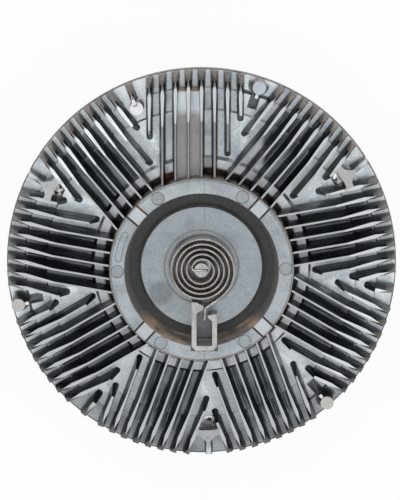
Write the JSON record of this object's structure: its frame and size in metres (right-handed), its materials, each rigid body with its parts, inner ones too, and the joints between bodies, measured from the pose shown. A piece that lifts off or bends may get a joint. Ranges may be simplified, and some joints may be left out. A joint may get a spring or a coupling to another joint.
{
  "type": "viscous fan clutch",
  "caption": "Viscous fan clutch of a truck engine: finned cast aluminium housing on a bearing over a flanged drive hub, bimetal coil on the front.",
  "frame": {"origin": "centre of the drive flange's rear face, at the bottom of the part", "axes": "+Z along the axis from the drive flange to the finned front, -Y from the axis towards the coil anchor"},
  "size_m": [0.28, 0.28, 0.122],
  "materials": {
    "cast_aluminium": "sand-grained die casting with turned fin crests",
    "rear_aluminium": "die casting, machined fan seat",
    "rotor_aluminium": "turned",
    "hub_steel": "turned and phosphated",
    "shield_steel": "pressed, zinc plated",
    "bearing_steel": "ground and polished",
    "cage_plastic": "moulded polyamide",
    "seal_rubber": "moulded",
    "spring_steel": "phosphated black",
    "screw_steel": "zinc plated",
    "plate_steel": "pressed",
    "bush_brass": "turned",
    "valve_steel": "turned, bright",
    "bimetal": "rolled strip, heat tinted"
  },
  "bodies": {
    "drive": {"drive_hub": "hub_steel", "dust_shield": "shield_steel", "bearing_inner_ring": "bearing_steel", "rotor_disc": "rotor_aluminium", "rotor_washer": "screw_steel", "rotor_nut": "screw_steel"},
    "ball_cage": {"bearing_balls": "bearing_steel", "bearing_cage": "cage_plastic"},
    "housing": {"bearing_outer_ring": "bearing_steel", "rear_bearing_seal": "seal_rubber", "front_bearing_seal": "seal_rubber", "bearing_circlip": "spring_steel", "rear_housing": "rear_aluminium", "body_seal_ring": "seal_rubber", "front_cover": "cast_aluminium", "cover_screws": "screw_steel", "separator_plate": "plate_steel", "plate_rivets": "plate_steel", "valve_bush": "bush_brass", "valve_o_ring": "seal_rubber", "valve_seal_retainer": "plate_steel", "valve_thrust_washer": "bush_brass", "bimetal_coil": "bimetal"},
    "valve": {"valve_arm": "spring_steel", "valve_shaft": "valve_steel"}
  },
  "joints": [
    {"name": "housing_spin", "type": "hinge", "parent": "drive", "child": "housing", "pos_m": [0, 0, 0.053], "axis": [0, 0, 1], "continuous": true},
    {"name": "cage_spin", "type": "hinge", "parent": "drive", "child": "ball_cage", "pos_m": [0, 0, 0.053], "axis": [0, 0, 1], "continuous": true},
    {"name": "valve_turn", "type": "hinge", "parent": "housing", "child": "valve", "pos_m": [0, 0, 0.096], "axis": [0, 0, 1], "range_deg": [0, 40], "stiffness_Nm_per_rad": 0.36, "deforming": ["bimetal_coil"]}
  ],
  "couplings": [
    {"joint": "cage_spin", "follows": "housing_spin", "ratio": 0.6}
  ]
}
